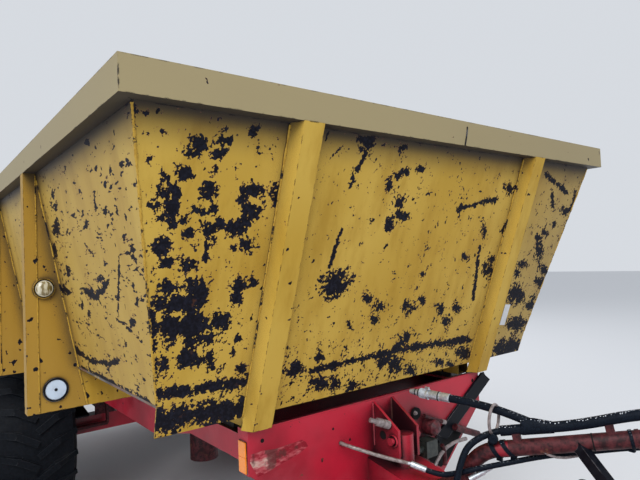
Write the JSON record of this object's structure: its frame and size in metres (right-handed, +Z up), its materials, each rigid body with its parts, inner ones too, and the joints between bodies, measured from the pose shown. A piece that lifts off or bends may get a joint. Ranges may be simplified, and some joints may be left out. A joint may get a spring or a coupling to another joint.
{
  "type": "dump trailer",
  "caption": "Tandem-axle tipping trailer with a tapered ribbed skip, top-hung tailgate, telescopic ram, sprung drawbar and parking jack.",
  "frame": {"origin": "centre of the towing eye", "axes": "+X forward, +Y to the trailer's left, +Z up along the eye's bore"},
  "size_m": [6.833, 2.55, 2.415],
  "materials": {
    "yellow_paint": "worn ochre yellow paint, chipped to dark steel",
    "red_paint": "crimson red paint, scuffed and dusty",
    "oxide_red": "faded brown-red paint",
    "wheel_paint": "pale grey wheel paint",
    "bare_steel": "bare worn steel",
    "chrome": "chromed ram stage",
    "black_steel": "black paint, worn",
    "tyre": "weathered flotation tyre",
    "hose_rubber": "wet black hose rubber",
    "pad_rubber": "black rubber pad",
    "red_lens": "red lamp lens",
    "clear_lens": "clear marker lens"
  },
  "bodies": {
    "chassis": {"axle_front": "red_paint", "axle_rear": "red_paint", "black_stays": "black_steel", "bogie_shaft": "bare_steel", "brake_chambers": "oxide_red", "chassis_beam_left": "red_paint", "chassis_beam_right": "red_paint", "chassis_bolster": "red_paint", "chassis_cross_members": "red_paint", "drawbar": "red_paint", "drawbar_strut": "red_paint", "hinge_pins": "bare_steel", "hose_arm": "oxide_red", "hose_feed": "hose_rubber", "hose_fittings": "bare_steel", "hose_loop": "hose_rubber", "hose_return": "hose_rubber", "hose_sleeve": "hose_rubber", "jack_sleeve": "red_paint", "lamp_bar": "black_steel", "leaf_springs": "black_steel", "ram_cradle": "red_paint", "rest_pads": "pad_rubber", "road_lamps": "red_lens", "towing_eye": "bare_steel", "valve_unit": "black_steel"},
    "bed": {"front_lamps": "clear_lens", "gate_brackets": "yellow_paint", "skip_bed_beams": "yellow_paint", "skip_cross_bearers": "yellow_paint", "skip_floor": "yellow_paint", "skip_front_rail": "yellow_paint", "skip_front_ribs": "yellow_paint", "skip_front_wall": "yellow_paint", "skip_hinge_lugs": "yellow_paint", "skip_ram_lugs": "yellow_paint", "skip_rear_frame": "yellow_paint", "skip_side_rail_left": "yellow_paint", "skip_side_rail_right": "yellow_paint", "skip_side_ribs_left": "yellow_paint", "skip_side_ribs_right": "yellow_paint", "skip_side_wall_left": "yellow_paint", "skip_side_wall_right": "yellow_paint"},
    "tailgate": {"tailgate_arms": "yellow_paint", "tailgate_panel": "yellow_paint"},
    "ram_barrel": {"ram_barrel": "red_paint"},
    "jack_leg": {"jack_leg": "black_steel"},
    "ram_stage_1": {"ram_stage_1": "chrome"},
    "ram_stage_2": {"ram_stage_2": "chrome"},
    "ram_stage_3": {"ram_stage_3": "chrome"},
    "ram_stage_4": {"ram_stage_4": "chrome"},
    "wheel_front_left": {"tyre_front_left": "tyre", "wheel_front_left": "wheel_paint"},
    "wheel_front_right": {"tyre_front_right": "tyre", "wheel_front_right": "wheel_paint"},
    "wheel_rear_left": {"tyre_rear_left": "tyre", "wheel_rear_left": "wheel_paint"},
    "wheel_rear_right": {"tyre_rear_right": "tyre", "wheel_rear_right": "wheel_paint"}
  },
  "joints": [
    {"name": "bed_tip", "type": "hinge", "parent": "chassis", "child": "bed", "pos_m": [-6.55, 0, 0.52064], "axis": [0, -1, 0], "range_deg": [0, 48]},
    {"name": "tailgate_swing", "type": "hinge", "parent": "bed", "child": "tailgate", "pos_m": [-6.44, 0, 1.85064], "axis": [0, 1, 0], "range_deg": [0, 75]},
    {"name": "ram_swing", "type": "hinge", "parent": "chassis", "child": "ram_barrel", "pos_m": [-3.7, 0, 0.40564], "axis": [0, -1, 0], "range_deg": [0, 24.59]},
    {"name": "ram_slide_1", "type": "slide", "parent": "ram_barrel", "child": "ram_stage_1", "axis": [0, 0, 1], "range_m": [0, 0.5738]},
    {"name": "ram_slide_2", "type": "slide", "parent": "ram_stage_1", "child": "ram_stage_2", "axis": [0, 0, 1], "range_m": [0, 0.5738]},
    {"name": "ram_slide_3", "type": "slide", "parent": "ram_stage_2", "child": "ram_stage_3", "axis": [0, 0, 1], "range_m": [0, 0.5738]},
    {"name": "ram_slide_4", "type": "slide", "parent": "ram_stage_3", "child": "ram_stage_4", "axis": [0, 0, 1], "range_m": [0, 0.5738]},
    {"name": "jack_lift", "type": "slide", "parent": "chassis", "child": "jack_leg", "axis": [0, 0, 1], "range_m": [0, 0.4]},
    {"name": "wheel_front_left_spin", "type": "hinge", "parent": "chassis", "child": "wheel_front_left", "pos_m": [-4.5, 1.025, 0.06064], "axis": [0, 1, 0], "continuous": true},
    {"name": "wheel_front_right_spin", "type": "hinge", "parent": "chassis", "child": "wheel_front_right", "pos_m": [-4.5, -1.025, 0.06064], "axis": [0, 1, 0], "continuous": true},
    {"name": "wheel_rear_left_spin", "type": "hinge", "parent": "chassis", "child": "wheel_rear_left", "pos_m": [-5.9, 1.025, 0.06064], "axis": [0, 1, 0], "continuous": true},
    {"name": "wheel_rear_right_spin", "type": "hinge", "parent": "chassis", "child": "wheel_rear_right", "pos_m": [-5.9, -1.025, 0.06064], "axis": [0, 1, 0], "continuous": true}
  ],
  "couplings": [
    {"joint": "ram_swing", "follows": "bed_tip", "ratio": 0.51219},
    {"joint": "ram_slide_1", "follows": "bed_tip", "m_per_rad": 0.68428},
    {"joint": "ram_slide_2", "follows": "bed_tip", "m_per_rad": 0.68428},
    {"joint": "ram_slide_3", "follows": "bed_tip", "m_per_rad": 0.68428},
    {"joint": "ram_slide_4", "follows": "bed_tip", "m_per_rad": 0.68428}
  ]
}
